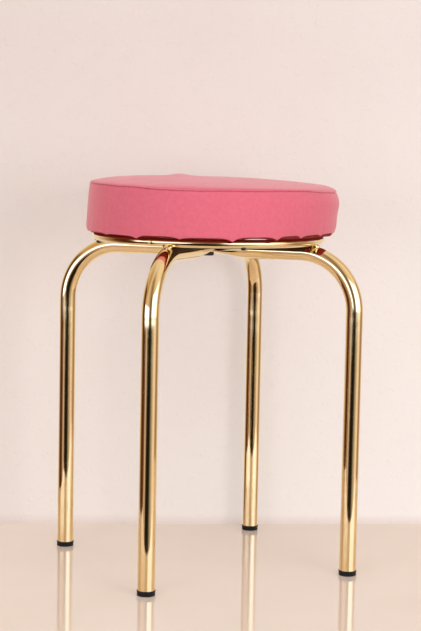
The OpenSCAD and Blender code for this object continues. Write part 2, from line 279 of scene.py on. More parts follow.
def along_surface(tree, scale):
    """The UV map that runs round and along a swept piece."""
    uv = add(tree, "ShaderNodeUVMap", uv_map="Along")
    return add(tree, "ShaderNodeMapping", {"Vector": uv, "Scale": scale})


def maths(tree, operation, *values):
    return add(tree, "ShaderNodeMath", dict(enumerate(values)), operation=operation)


def noise(tree, vector, scale, detail=3, rough=0.5, distort=0):
    values = {"Scale": scale, "Detail": detail, "Roughness": rough, "Distortion": distort}
    return add(tree, "ShaderNodeTexNoise", {"Vector": vector, **values}, "Fac")


def spread(tree, value, low, high, start=0.3, end=0.7):
    """Maps a texture value from start..end to low..high."""
    ends = {"From Min": start, "From Max": end, "To Min": low, "To Max": high}
    return add(tree, "ShaderNodeMapRange", {"Value": value, **ends})


def mix_colour(tree, share, a, b, blend="MIX"):
    inputs = {0: share, 6: a, 7: b}
    return add(tree, "ShaderNodeMix", inputs, 2, data_type="RGBA", blend_type=blend)


def two_tones(tree, value, a, b, start=0.3, end=0.7):
    """Colour a up to the value start, colour b from the value end, and a mix between."""
    return mix_colour(tree, spread(tree, value, 0, 1, start, end), a, b)


def bump(tree, height, strength, distance, below=None):
    inputs = {"Height": height, "Strength": strength, "Distance": distance}
    if below is not None:
        inputs["Normal"] = below
    return add(tree, "ShaderNodeBump", inputs)


# %% [markdown]
# ## The plated steel
#
# The tubes and the ring are polished steel with a thin gold-coloured plating. What the eye
# reads on it is the room: sharp bands of light and dark that run along each tube. So the
# metal is a mirror with little roughness, and only fine lines from the drawing of the tube,
# a few pits, and slow waves from the bending break the bands up. The drawn lines follow the
# UV map. A weld was never drawn, so its lines are fine ripples instead.


# %% Gold plating
def gold_plating(name, drawn_scale=None):
    material, tree, _ = new_material(name)
    where = object_space(tree)
    ripples = (90, 90, 900)
    lines = along_surface(tree, drawn_scale) if drawn_scale else object_space(tree, ripples)
    drawn = noise(tree, lines, 1.0, 4, 0.6)
    cloud, pits = noise(tree, where, 38, 3), noise(tree, where, 1400, 2)
    tone = two_tones(tree, cloud, (0.90, 0.70, 0.38), (0.93, 0.73, 0.42))
    relief = bump(tree, drawn, 0.06, 0.0002)
    return finished(
        material, Metallic=1.0, IOR=1.5, Roughness=spread(tree, drawn, 0.045, 0.10),
        Base_Color=two_tones(tree, pits, tone, (0.60, 0.42, 0.20), 0.68, 0.74),
        Normal=bump(tree, noise(tree, where, 22, 2), 0.08, 0.004, relief),
    )


gold_tube = gold_plating("gold_plated_tube", (160, 40, 1))
gold_weld = gold_plating("gold_plated_weld")
print("Gold platings:", gold_tube.name, gold_weld.name)

# %% [markdown]
# ## The leg tubes
#
# Each leg frame is one tube: up a leg, round a bend, level to the middle, and down again on
# the other side. In the middle it is pressed flat, so that the two can cross. The wall of a
# tube keeps its length when it is pressed, so the flat is wider than the tube. A sweep of
# sections is the natural way: the section is a circle on the legs and turns smoothly into the
# flat form near the crossing. The bore is swept too, and joined to the outside at both ends.

# %% Sections and the middle line of a leg frame
SECTION_N = 64
PRESS_STRAIGHT = math.pi * (2 * TUBE_R - PRESS_T) / 4
PRESS_HALF = PRESS_STRAIGHT + PRESS_T / 2 + 1.2 * MM


def round_section(r, a):
    return np.stack([r * np.cos(a), r * np.sin(a)], -1)


def flat_section(r, a):
    """A flat form with straight faces and round ends of radius r."""
    side, up = np.where(np.cos(a) < 0, -1, 1), np.where(np.sin(a) < 0, -1, 1)
    b = np.degrees(np.arcsin(np.abs(np.sin(a))))
    turn = np.radians(2 * b)
    end = [side * (PRESS_STRAIGHT + r * np.cos(turn)), up * r * np.sin(turn)]
    face = [side * PRESS_STRAIGHT * (90 - b) / 45, up * r]
    return np.where(b <= 45, end, face).T


def pressed(x):
    """1 on the flat, falling to 0 where the tube is round."""
    t = np.clip((abs(x) - PRESS_HALF) / (PRESS_END - PRESS_HALF), 0, 1)
    return (1 - t) ** 2


def leg_path():
    """Points (distance from the middle, height, turn of the section) from foot to foot."""
    rise = [(FOOT_R, z, 0.0) for z in np.linspace(FOOT_TOP, BEND_Z, 14)[:-1]]
    bend = [
        (LEVEL_HALF + BEND_R * math.cos(t), BEND_Z + BEND_R * math.sin(t), t)
        for t in np.linspace(0, math.pi / 2, 33)
    ]
    level = [*np.linspace(LEVEL_HALF, PRESS_END, 6)[1:-1], *np.linspace(PRESS_END, PRESS_HALF, 22)]
    half = rise + bend + [(x, LEVEL_Z, math.pi / 2) for x in (*level, PRESS_HALF / 2, 0)]
    return half + [(-x, z, math.pi - t) for x, z, t in half[-2::-1]]


print("The pressed middle is", round((2 * PRESS_STRAIGHT + PRESS_T) / MM, 1), "mm wide")


# %% Sweep the leg frames
def frame_rows(inset, lift):
    """Sections along a frame, inset from its outside. The pressed part is lifted by lift."""
    a = np.linspace(0, 2 * math.pi, SECTION_N, endpoint=False)
    rows = []
    for x, z, t in leg_path():
        share = pressed(x) if z > BEND_Z + 0.9 * BEND_R else 0.0
        flat = flat_section(PRESS_T / 2 - inset, a)
        p = (1 - share) * round_section(TUBE_R - inset, a) + share * flat
        up = p[:, 1]
        at_x, at_z = x + up * math.cos(t), z + up * math.sin(t) + share * lift
        rows.append(np.stack([at_x, p[:, 0], at_z], -1))
    return np.array(rows)


def leg_frame(name, node, lift, turn):
    rows = np.concatenate([frame_rows(0, lift), frame_rows(TUBE_WALL, lift)[::-1]])
    if turn:
        rows = np.stack([-rows[..., 1], rows[..., 0], rows[..., 2]], -1)
    dress(skin(name, rows, ring=True), gold_tube, "gold_steel", node)


leg_frame("lower_leg_tube", "lower_leg_frame", -PRESS_T / 2, False)
leg_frame("upper_leg_tube", "upper_leg_frame", PRESS_T / 2, True)

# %% [markdown]
# ## The rod ring
#
# The ring is a rod that was rolled round and closed with one butt weld. Its two ends never
# meet quite true, which shows as a fine line where the bands of light jump. The rod is swept
# from one side of the joint round to the other, with a small round on each end, and the weld
# is a low bead between them.

# %% Roll the ring
BUTT_HALF, RING_LENGTH = 0.6 * MM, 2 * math.pi * RING_R


def ring_rows(distances, radii, kink=0.0):
    """Sections of the rod at distances along the ring from the joint, each with its radius."""
    a = np.linspace(0, 2 * math.pi, 40, endpoint=False)
    rows = []
    for d, r in zip(distances, radii):
        t = math.radians(JOINT_ANGLE) + d / RING_R
        from_end = min(d, RING_LENGTH - d)
        shift = kink * math.exp(-from_end / (12 * MM)) * (1 if d < RING_LENGTH / 2 else -1)
        radial = RING_R + r * np.cos(a) + shift
        section = [radial * math.cos(t), radial * math.sin(t), RING_Z + r * np.sin(a)]
        rows.append(np.stack(section, -1))
    return np.array(rows)


ends = np.array([0, 0.03, 0.1, 0.25]) * MM
end_radii = ROD_R - np.array([0.45, 0.25, 0.08, 0]) * MM
middle_start = BUTT_HALF + 3 * MM
middle = np.linspace(middle_start, RING_LENGTH - middle_start, 280)
stations = np.concatenate([BUTT_HALF + ends, middle, RING_LENGTH - BUTT_HALF - ends[::-1]])
radii = np.concatenate([end_radii, np.full(len(middle), ROD_R), end_radii[::-1]])
rod_rows = ring_rows(stations, radii, 0.15 * MM)
dress(skin("rod_ring", rod_rows), gold_tube, "gold_steel", "seat_ring")

bead_at = np.linspace(-BUTT_HALF, BUTT_HALF, 9)
bead_r = ROD_R + 0.2 * MM * np.cos(bead_at / BUTT_HALF * 1.4) - 0.08 * MM
bead_rows = ring_rows(bead_at, bead_r)
dress(skin("ring_butt_bead", bead_rows), gold_weld, "gold_steel", "ring_butt_weld")

# %% [markdown]
# ## The welds under the ring
#
# At each leg the ring lies on the bend, with a small pool of weld metal between the two. A
# weld is a flattened drop with a lumpy rim. It is spun from a lens-shaped profile, pushed in
# and out by a few fixed waves, and leaned with the tube under it.

# %% Four weld pools
POOL_R, POOL_HALF_H = 5.9 * MM, 2.7 * MM
LEAN = math.asin((RING_R - LEVEL_HALF) / (BEND_R + TUBE_R + RING_GAP + ROD_R))


def weld_pool(side, angle, seed):
    t = np.linspace(0, math.pi, 15)
    rows = spin_rows(np.stack([POOL_R * np.sin(t) ** 0.8, POOL_HALF_H * np.cos(t)], -1), 40)
    a = np.arctan2(rows[..., 1], rows[..., 0])
    lumps = 1 + 0.05 * np.sin(3 * a + seed) + 0.035 * np.sin(7 * a + 2.1 * seed)
    rows[..., :2] *= lumps[..., None]
    reach = BEND_R + TUBE_R + RING_GAP / 2
    lean = Matrix.Rotation(LEAN, 3, "Y")
    turn = Matrix.Rotation(math.radians(angle), 3, "Z")
    centre = (LEVEL_HALF + reach * math.sin(LEAN), 0, BEND_Z + reach * math.cos(LEAN))
    points = rows.reshape(-1, 3) @ np.array(lean).T + np.array(centre)
    rows = (points @ np.array(turn).T).reshape(rows.shape)
    dress(skin("weld_pool_" + side, rows), gold_weld, "gold_steel", "ring_weld_" + side)


for seed, (side, angle) in enumerate(LEG_ANGLES.items()):
    weld_pool(side, angle, seed)

# %% [markdown]
# ## The foot caps
#
# Each leg stands on a moulded plastic cap: a flange with a small lip where it meets the tube,
# and a finned plug inside the tube. A turned profile gives it, with every edge rounded as a
# mould leaves it.


# %% Black moulded plastic
def moulded_plastic(name, colour):
    material, tree, _ = new_material(name)
    where = object_space(tree)
    grain, dust = noise(tree, where, 2600, 3), noise(tree, where, 260, 4)
    dusty = [c + 0.006 for c in colour]
    return finished(
        material, Specular_IOR_Level=0.22, Roughness=spread(tree, dust, 0.32, 0.52),
        Base_Color=two_tones(tree, dust, colour, dusty, 0.45, 0.75),
        Normal=bump(tree, grain, 0.25, 0.00015),
    )


black_plastic = moulded_plastic("black_plastic", (0.006, 0.007, 0.010))


# %% Turn the caps
def rounded(corners, steps=4):
    """A profile in metres through corners in mm (radius, height, rounding), made round."""
    out = [corners[0][:2]]
    for before, corner, after in zip(corners[:-2], corners[1:-1], corners[2:]):
        p, q, s = (np.array(v[:2]) for v in (before, corner, after))
        a = q + (p - q) * min(corner[2] / np.linalg.norm(p - q), 0.45)
        b = q + (s - q) * min(corner[2] / np.linalg.norm(s - q), 0.45)
        for t in np.linspace(0, 1, steps + 1):
            out.append((1 - t) ** 2 * a + 2 * t * (1 - t) * q + t * t * b)
    return MM * np.array([*out, corners[-1][:2]])


cap_corners = [(0, 0, 0), (10.4, 0, 0.7), (10.5, 4.9, 0.1), (10.8, 5.1, 0.12), (10.8, 6, 0.4)]
cap_corners += [(7.35, 6, 0.2)]
for fin in (10, 14, 18):
    cap_corners += [(7.35, fin - 1.5, 0.1), (8.35, fin, 0.1), (7.35, fin + 0.2, 0.1)]
cap_corners += [(7.35, 22, 0.3), (5.65, 22, 0.3), (5.65, 6, 0.3), (0, 6, 0)]

for side, angle in LEG_ANGLES.items():
    at = (FOOT_R * math.cos(math.radians(angle)), FOOT_R * math.sin(math.radians(angle)))
    cap = skin("cap_" + side, spin_rows(rounded(cap_corners), 64, at))
    dress(cap, black_plastic, "black_cap", "foot_cap_" + side)

# %% [markdown]
# ## The bolt, the board and their finishes
#
# The bolt, washer, nut and plywood disc keep their CAD solids, whose shapes are right, and
# get finishes of their own. The bolt is blackened steel, the washer and nut are zinc plated,
# and the disc is plywood coloured nearly black, as painted shade for the deep shadow under
# the seat: the tubes mirror it as nearly black.


# %% Steel and plywood
def worn_steel(name, low, high, rough, scale):
    material, tree, _ = new_material(name)
    where = object_space(tree)
    cells = add(tree, "ShaderNodeTexVoronoi", {"Vector": where, "Scale": scale}, "Distance")
    wear = noise(tree, where, scale / 3, 4)
    return finished(
        material, Metallic=1.0, Base_Color=two_tones(tree, wear, low, high),
        Roughness=spread(tree, wear, rough - 0.08, rough + 0.12),
        Normal=bump(tree, cells, 0.12, 0.0002),
    )


def plywood_face(name):
    material, tree, _ = new_material(name)
    figure = noise(tree, object_space(tree, (1, 7, 7)), 9, 5, 0.6, 1.2)
    grain = noise(tree, object_space(tree, (14, 260, 260)), 4, 4)
    # The wood's colours are kept nearly black: painted shade for the shadow under the seat
    wood = two_tones(tree, figure, (0.030, 0.016, 0.010), (0.060, 0.034, 0.020))
    return finished(
        material, Specular_IOR_Level=0.3, Roughness=spread(tree, grain, 0.62, 0.8),
        Base_Color=mix_colour(tree, spread(tree, grain, 0, 0.5), wood, (0.014, 0.008, 0.005)),
        Normal=bump(tree, grain, 0.3, 0.0003),
    )


black_steel = worn_steel("blackened_steel", (0.035, 0.036, 0.04), (0.09, 0.09, 0.095), 0.34, 900)
zinc_steel = worn_steel("zinc_plated_steel", (0.52, 0.53, 0.55), (0.70, 0.71, 0.72), 0.3, 1500)
kept_nodes = {
    "crossing_bolt": black_steel,
    "crossing_washer": zinc_steel,
    "crossing_nut": zinc_steel,
    "seat_board": plywood_face("plywood_painted_shade"),
}
for node, material in kept_nodes.items():
    part = frame["nodes"][node]
    part.data.materials.clear()
    part.data.materials.append(material)
    print(node, "is finished in", material.name)

# %% [markdown]
# ## Repeating fixings with Geometry Nodes
#
# Four screws hold the pad to the ring, and twenty-four staples hold the felt under the disc.
# Both are one small piece repeated round a circle, so one node tree serves them: it puts a
# point on a circle for each copy, turns the copy to face outwards, nudges it a little by a
# seeded random turn, makes the copies real and gives them their material.


# %% A tree that repeats a piece round a circle
def repeat_tree(name, inputs):
    """A node group with the named inputs (name: kind), their identifiers and its input node."""
    tree = bpy.data.node_groups.new(name, "GeometryNodeTree")
    sockets = {}
    for key, kind in {"Geometry": "Geometry", **inputs}.items():
        item = tree.interface.new_socket(key, in_out="INPUT", socket_type="NodeSocket" + kind)
        sockets[key] = item.identifier
    tree.interface.new_socket("Geometry", in_out="OUTPUT", socket_type="NodeSocketGeometry")
    return tree, sockets, add(tree, "NodeGroupInput", output=None)


def finish_tree(tree, geometry, material):
    real = add(tree, "GeometryNodeRealizeInstances", {"Geometry": geometry})
    shown = add(tree, "GeometryNodeSetMaterial", {"Geometry": real, "Material": material})
    add(tree, "NodeGroupOutput", {0: shown}, None)


def evaluated_mesh(piece):
    """A plain mesh of the piece with its modifiers applied."""
    evaluated = piece.evaluated_get(bpy.context.evaluated_depsgraph_get())
    return bpy.data.meshes.new_from_object(evaluated)


def run_tree(name, start, tree, sockets, values):
    """Runs the tree on an object and returns the result as a plain mesh object."""
    modifier = start.modifiers.new("Repeat", "NODES")
    modifier.node_group = tree
    for key, value in values.items():
        modifier[sockets[key]] = value
    mesh = evaluated_mesh(start)
    mesh.name = name
    mesh.shade_smooth()
    bpy.data.objects.remove(start)
    return new_object(name, mesh)


def circle_tree(material):
    inputs = {"Piece": "Object", "Count": "Int", "Radius": "Float", "Turn": "Float"}
    inputs.update({"Height": "Float", "Jitter": "Float", "Seed": "Int"})
    tree, sockets, given = repeat_tree("Round_a_circle_" + material.name, inputs)
    circle = {"Vertices": given["Count"], "Radius": given["Radius"]}
    step = maths(tree, "DIVIDE", math.tau, given["Count"])
    own = maths(tree, "MULTIPLY", add(tree, "GeometryNodeInputIndex"), step)
    least = maths(tree, "MULTIPLY", given["Jitter"], -1)
    nudge = {2: least, 3: given["Jitter"], "Seed": given["Seed"]}
    nudge = add(tree, "FunctionNodeRandomValue", nudge, 1, data_type="FLOAT")
    spin, turn, place = (
        add(tree, "ShaderNodeCombineXYZ", {"Z": value})
        for value in (maths(tree, "ADD", own, nudge), given["Turn"], given["Height"])
    )
    copies = {
        "Points": add(tree, "GeometryNodeMeshCircle", circle),
        "Instance": add(tree, "GeometryNodeObjectInfo", {"Object": given["Piece"]}, "Geometry"),
        "Rotation": spin,
    }
    copies = add(tree, "GeometryNodeInstanceOnPoints", copies)
    moved = {"Geometry": copies, "Rotation": turn, "Translation": place}
    finish_tree(tree, add(tree, "GeometryNodeTransform", moved), material)
    return tree, sockets


def round_a_circle(name, piece, material, **values):
    tree, sockets = circle_tree(material)
    start = new_object(name + "_start", bpy.data.meshes.new(name + "_start"))
    made = run_tree(name, start, tree, sockets, {"Piece": piece, **values})
    bpy.data.objects.remove(piece)
    made.data.set_sharp_from_angle(angle=math.radians(35))
    return made


# %% [markdown]
# A screw has a pan head with a crossed recess, which is cut with a boolean, and a staple is a
# flat wire bent twice. Both are made at the origin, as they would sit on the +X side.

# %% Screws
screw_low, screw_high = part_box("seat_screw_front_right")
screw_mm = (screw_high.z - screw_low.z) / MM
screw_corners = [(0, 0, 0), (1.9, 0, 0.6), (3.0, 0.5, 0.5), (3.5, 1.5, 0.5), (3.5, 2.6, 0.15)]
screw_corners += [(2, 2.6, 0.1), (2, screw_mm - 4, 0.2), (0, screw_mm, 0)]
screw = skin("one_screw", spin_rows(rounded(screw_corners), 40))
arm, half = 2.1 * MM, 0.5 * MM
cross = [
    (c * x - s * y, s * x + c * y)
    for c, s in ((1, 0), (0, 1), (-1, 0), (0, -1))
    for x, y in ((arm, -half), (arm, half), (half, half))
]
recess_rows = [[(x * s, y * s, z) for x, y in cross] for z, s in ((-MM, 1.05), (1.4 * MM, 0.6))]
recess = skin("screw_recess", np.array(recess_rows))
cut = screw.modifiers.new("Recess", "BOOLEAN")
cut.operation, cut.object, cut.solver = "DIFFERENCE", recess, "EXACT"
cut_mesh = evaluated_mesh(screw)
screw.modifiers.clear()
screw.data = cut_mesh
bpy.data.objects.remove(recess)
screws = round_a_circle(
    "seat_screws", screw, black_steel,
    Count=4, Radius=RING_R, Height=screw_low.z, Turn=math.radians(SCREW_ANGLE),
)
sides = ("front_right", "back_right", "back_left", "front_left")
dress(screws, black_steel, "dark_steel", *("seat_screw_" + s for s in sides))

# %% Staples
WIRE_HALF_W, WIRE_HALF_T = 0.6 * MM, 0.35 * MM
wire_path = rounded([(-4.65, 8, 0), (-4.65, -0.35, 1.2), (4.65, -0.35, 1.2), (4.65, 8, 0)], 5)
along = np.gradient(wire_path, axis=0)
along /= np.linalg.norm(along, axis=1)[:, None]
wire = [(-1, -1), (1, -1), (1, 1), (-1, 1)]
staple_rows = [
    [(w * WIRE_HALF_W, x - b * h * WIRE_HALF_T, z + a * h * WIRE_HALF_T) for w, h in wire]
    for (x, z), (a, b) in zip(wire_path, along)
]
staple = skin("one_staple", np.array(staple_rows))
staples = round_a_circle(
    "hem_staple_row", staple, zinc_steel,
    Count=24, Radius=HEM_R + 6 * MM, Height=HEM_Z, Turn=math.radians(7.5), Jitter=0.05, Seed=4,
)
dress(staples, zinc_steel, "zinc_steel", "hem_staples")

# %% [markdown]
# ## The felt
#
# The cover is a thick wool felt. Up close it is a mat of short fibres, from a step away it is
# a matt, slightly mottled pink, and along its edges the fibres catch the light, which the
# sheen of the shader gives. Where the cover is turned under the disc and faces down, the felt
# gets a much darker colour and no sheen: painted shade for the little light under the edge.


# %% Pink felt and its thread
def wool_felt(name, dark, light, sheen=0.6):
    material, tree, _ = new_material(name)
    where = object_space(tree)
    fibres, tufts = noise(tree, where, 1100, 5, 0.65, 1.5), noise(tree, where, 240, 4, 0.6)
    patches, flecks = noise(tree, where, 26, 3), noise(tree, where, 190, 1)
    tone = two_tones(tree, tufts, dark, light)
    tone = mix_colour(tree, spread(tree, patches, 0, 0.09), tone, [0.86 * c for c in dark])
    flecks = spread(tree, flecks, 0, 0.6, 0.80, 0.83)
    relief = bump(tree, fibres, 0.5, 0.0004)
    return finished(
        material, Roughness=0.95, Specular_IOR_Level=0.18,
        Sheen_Weight=sheen, Sheen_Roughness=0.42, Sheen_Tint=(1.0, 0.80, 0.78),
        Base_Color=mix_colour(tree, flecks, tone, [0.45 * c for c in dark]),
        Normal=bump(tree, tufts, 0.3, 0.0009, relief),
    )


pink_felt = wool_felt("pink_wool_felt", (0.70, 0.140, 0.202), (0.755, 0.160, 0.230))
# Painted shade: a much darker felt for the faces turned down under the disc
felt_in_painted_shade = wool_felt("wool_felt_painted_shade", (0.24, 0.024, 0.026), (0.29, 0.034, 0.034), 0)
rose_thread = wool_felt("rose_thread", (0.42, 0.06, 0.09), (0.52, 0.085, 0.12))
print("Felts and thread:", pink_felt.name, felt_in_painted_shade.name, rose_thread.name)

# %% [markdown]
# ## The pad's form
#
# The pad is foam on the disc under a cover of two panels: a round top and a straight band.
# The band is drawn down, turned under the disc, gathered and stapled, so its lower edge makes
# small arches between the gathers. The pad is one closed piece: over the top, in and out at
# the seam, down the band, under the disc to the cut hem, and back round the disc, which sits
# in a pocket. Every row is a circle whose radius and height then vary with the angle.

# %% The outline as rows
COLUMNS = 480
SWELL = 3.6 * MM  # what the simulation adds to the crown
CROWN_H = TOP_Z - SEAM_Z - 3.8 * MM - SWELL
GROOVE, SEAM_DIP, CORNER_R = 0.8 * MM, 1.3 * MM, 2.0 * MM
POCKET_R, POCKET_LOW = BOARD_R + 0.25 * MM, board_low.z - 0.2 * MM
POCKET_HIGH = board_high.z + 0.25 * MM


def crown_share(t):
    return 0.35 * (1 - t**1.3) + 0.65 * np.sqrt(np.clip(1 - t**14, 0, 1))


def band_swell(t):
    return 1 - np.abs(2 * t - 1) ** 4


def outline():
    """Rows of (radius, height, kind, share): the pad from the middle of its top to its pocket."""
    rows = []
    for s in np.linspace(0, 1, 52)[:-1]:
        t = 1 - (1 - s) ** 2.2
        height = SEAM_Z + GROOVE + (CROWN_H - GROOVE) * crown_share(t)
        rows.append((t * (SEAM_R - 0.2 * MM), height, "top", t))
    for s in np.linspace(-1, 1, 9):
        dip = SEAM_DIP * (1 - s * s) ** 1.5
        rows.append((SEAM_R - dip, SEAM_Z - GROOVE * s, "seam", 1.0))
    foot = HEM_Z + CORNER_R
    for t in np.linspace(1, 0.0, 46)[1:]:
        radius = FOOT_OF_BAND_R + t * (SEAM_R - FOOT_OF_BAND_R)
        rows.append((radius, foot + t * (SEAM_Z - GROOVE - foot), "band", t))
    for a in np.linspace(0, math.pi / 2, 9)[1:]:
        radius = FOOT_OF_BAND_R - CORNER_R * (1 - math.cos(a))
        rows.append((radius, foot - CORNER_R * math.sin(a), "edge", a))
    hem_out = FOOT_OF_BAND_R - CORNER_R
    for t in np.linspace(1, 0, 15)[1:]:
        rows.append((HEM_R + t * (hem_out - HEM_R), HEM_Z, "hem", t))
    rows.append((HEM_R - 0.2 * MM, (HEM_Z + POCKET_LOW) / 2, "cut", 0))
    rows += [(r, POCKET_LOW, "pocket", 0) for r in np.linspace(HEM_R, POCKET_R, 6)]
    rows += [(POCKET_R, z, "pocket", 0) for z in np.linspace(POCKET_LOW, POCKET_HIGH, 5)[1:]]
    rows += [(r, POCKET_HIGH, "pocket", 0) for r in np.linspace(POCKET_R, 0, 7)[1:]]
    return rows


pad_outline = outline()
kinds = [row[2] for row in pad_outline]
print("The pad has", len(pad_outline), "rows of", COLUMNS, "points")

# %% [markdown]
# ### What makes the seat this seat
#
# A hand-made pad is never quite even. The cover of this one was pulled over to one side, its
# top slopes a little, it bulges under the seam on the far side, and one soft ridge runs across
# its top. The gathers come at uneven steps. Each line gives a gather's angle, counted in
# degrees from the camera's side of the pad, how far it hangs down, and how far the edge rises
# in the arch that follows it.

# %% Gathers along the lower edge
GATHERS = [
    (-165, 1.6, 1.2), (-144, 2.0, 1.4), (-127, 1.4, 1.0), (-108, 1.8, 1.4), (-92, 1.2, 0.8),
    (-73, 1.3, 0.6), (-54, 1.2, 0.6), (-34, 2.2, 1.9), (-13, 0.9, 1.3), (10.5, 2.9, 2.2),
    (31.5, 2.0, 2.4), (45, 1.3, 2.0), (60, 0.6, 1.6), (77, 1.0, 1.2), (95, 1.8, 1.4),
    (117, 1.7, 1.1), (135, 1.4, 1.2), (152, 1.9, 1.5), (173, 1.6, 1.2),
]
FACING = math.atan2(VIEW_FRONT.y, VIEW_FRONT.x)
PULLED_OVER = 4 * MM
FLARE, GATHER_DEPTH = 1.7 * MM, 0.9 * MM
RIM_BULGE, SIDE_BULGE, BULGE_Z = 1.6 * MM, 2.8 * MM, 447 * MM
RIDGE_H, RIDGE_W, RIDGE_LEFT = 2.9 * MM, 8.5 * MM, 41 * MM
SOFT_SIDE, LOOSE_HEM = 1.8 * MM, 1.0 * MM


def bell(x, width):
    return np.exp(-((x / width) ** 2) / 2)


def gathered_edge(theta):
    """How far the lower edge hangs (-) or rises (+), and the share of the gather, 0 to 1."""
    last, first = GATHERS[-1], GATHERS[0]
    table = np.array([(last[0] - 360, *last[1:]), *GATHERS, (first[0] + 360, *first[1:])])
    angles, hang, rise = np.radians(table[:, 0]), table[:, 1] * MM, table[:, 2] * MM
    i = np.clip(np.searchsorted(angles, theta, side="right") - 1, 0, len(angles) - 2)
    s = (theta - angles[i]) / (angles[i + 1] - angles[i])
    cusp = np.abs(2 * s - 1) ** 5
    return (1 - cusp) * rise[i] - cusp * ((1 - s) * hang[i] + s * hang[i + 1]), cusp


def waves(theta, z, amplitude):
    """A few slow fixed waves over the band."""
    total = np.sin(3 * theta + 0.7) + 0.7 * np.sin(5 * theta - 1.9 + 40 * z)
    total = total + 0.5 * np.sin(8 * theta + 2.2 - 60 * z)
    return amplitude * (total + 0.35 * np.sin(13 * theta + 0.4 + 90 * z)) / 2.2


def seam_lean(theta):
    """How far the seam lies above or below its mean height."""
    slope = -1.4 - 3.3 * np.sin(theta) - 0.5 * np.cos(theta)
    dips = 2.2 * bell(theta - 0.63, 0.35) - 1.5 * bell(theta + 0.3, 0.4)
    return (slope + dips + 0.25 * np.sin(9 * theta + 1.2) + 0.15 * np.sin(17 * theta)) * MM


print("Gathers:", len(GATHERS), "and the cover is pulled over by", round(PULLED_OVER / MM), "mm")


# %% Shape the rows
def pad_rows(outline_rows, columns):
    """The outline turned into rows of points, with all that makes this seat uneven."""
    phi = np.linspace(0, math.tau, columns, endpoint=False)
    theta = (phi - FACING + math.pi) % math.tau - math.pi
    edge, cusp = gathered_edge(theta)
    lean, right = seam_lean(theta), np.sin(theta)
    gather = (0.5 - cusp) * GATHER_DEPTH
    wider = FLARE * (1 + right)
    corner = -0.5 * MM + 4.0 * MM * bell(theta - 1.25, 0.42) + 3.9 * MM * bell(theta + 1.45, 0.4)
    loose = LOOSE_HEM * bell(theta - 0.385, 0.09)
    bulge = bell(theta - math.pi / 2, 0.55)
    tilt = (-0.15 - 1.95 * right - 2.0 * np.cos(theta)) * MM
    soft_side = SOFT_SIDE * bell(theta + math.pi / 2, 0.7)
    ring_out = RING_R + ROD_R
    hem_span = FOOT_OF_BAND_R - CORNER_R + 0.6 * wider - ring_out
    rows = []
    for r, z, kind, share in outline_rows:
        radius, height, over = np.full(columns, float(r)), np.full(columns, float(z)), 0.0
        inside = 1 - share**6
        if kind == "top":
            rim, over = np.clip((share - 0.9) / 0.1, 0, 1) ** 2, 1.0
            across, ahead = r * right, r * np.cos(theta)
            soft = soft_side * max(0, 2 * share - 1) ** 2 * inside
            ridge = RIDGE_H * bell(across + RIDGE_LEFT, RIDGE_W) * inside
            ridge = ridge * (0.5 - 0.5 * np.tanh(ahead / (50 * MM)))
            height += (1 - rim) * share * tilt + rim * lean - soft + ridge
            height += waves(theta, 0.3 + share * 0.1, 0.3 * MM) * share
            radius += RIM_BULGE * bulge * share**6
        elif kind == "seam":
            over = 1.0
            height += lean
            radius += waves(theta, z, 0.3 * MM) + RIM_BULGE * bulge
        elif kind == "band":
            over = 0.2 + 0.8 * share
            height += share**1.5 * lean
            radius += (1 - share) * wider + (1.25 + 0.95 * right) * MM * band_swell(share)
            side_bulge = SIDE_BULGE * bell(z - BULGE_Z, 10 * MM) * inside
            radius += bulge * (RIM_BULGE * share**2 + side_bulge)
            radius += waves(theta, z, 0.5 * MM) * (1 - share**4)
            radius += gather * bell(z - HEM_Z, 12 * MM)
            height += (edge + corner) * bell(z - HEM_Z - CORNER_R, 6 * MM)
        elif kind == "edge":
            over = 0.2
            radius += wider * (0.6 + 0.4 * math.cos(share)) + gather
            height += edge + corner * (0.55 + 0.45 * math.cos(share))
        elif kind == "hem":
            over = 0.2 * share
            radius += wider * 0.6 * share
            outer = np.clip((radius - ring_out) / hem_span, 0, 1)
            height += loose + outer**2 * (edge + 0.55 * corner - loose)
        elif kind == "cut":
            height += 0.5 * loose
        flat = radius[:, None] * np.stack([np.cos(phi), np.sin(phi)], -1)
        flat = flat + over * PULLED_OVER * np.array(VIEW_SIDE)[:2]
        rows.append(np.concatenate([flat, height[:, None]], 1))
    return np.array(rows)


rows = pad_rows(pad_outline, COLUMNS)
beside = [
    i for i, (_, z, kind, _) in enumerate(pad_outline)
    if kind == "band" and POCKET_LOW < z < POCKET_HIGH
]
thin = np.linalg.norm(rows[beside][..., :2], axis=-1).min() - POCKET_R
print("Beside the disc the felt is at least", round(float(thin) / MM, 2), "mm thick")
print("Before it swells, the pad reaches", round(float(rows[..., 2].max()) / MM, 1), "mm high")

# %% [markdown]
# ### Letting the foam fill the cover
#
# Foam presses on its cover from inside, and the cover gives most where nothing holds it. Cloth
# simulation does the same: a coarse copy of the pad is remeshed evenly, blown up by a small
# pressure and held along the disc and, less firmly, along the seam. The copy has no seam or
# gathers, so its movement is handed to the fine pad: each fine point takes the mean movement
# of the coarse points around it. The cap keeps a loose spot from running away.

# %% Blow the pad up
MOVE_CAP, VOXEL, PRESSURE, FRAMES = 4.5 * MM, 5 * MM, 4, 20
FOLLOW = {"top": 0.5, "seam": 0.2, "band": 0.5}  # each kind's share of the movement
NEIGHBOURS, REACH_OF_ONE = 8, 7 * MM


def coarse_pad(rows):
    """An evenly remeshed copy of the pad's outside, with a flat underside."""
    outside = [i for i, kind in enumerate(kinds) if kind in ("top", "band", "edge")]
    start = skin("pad_outside", rows[outside])
    remesh = start.modifiers.new("Voxels", "REMESH")
    remesh.mode, remesh.voxel_size = "VOXEL", VOXEL
    mesh = evaluated_mesh(start)
    start.modifiers.clear()
    start.data = mesh
    return start


def mesh_points(mesh):
    flat = np.empty(len(mesh.vertices) * 3)
    mesh.vertices.foreach_get("co", flat)
    return flat.reshape(-1, 3)


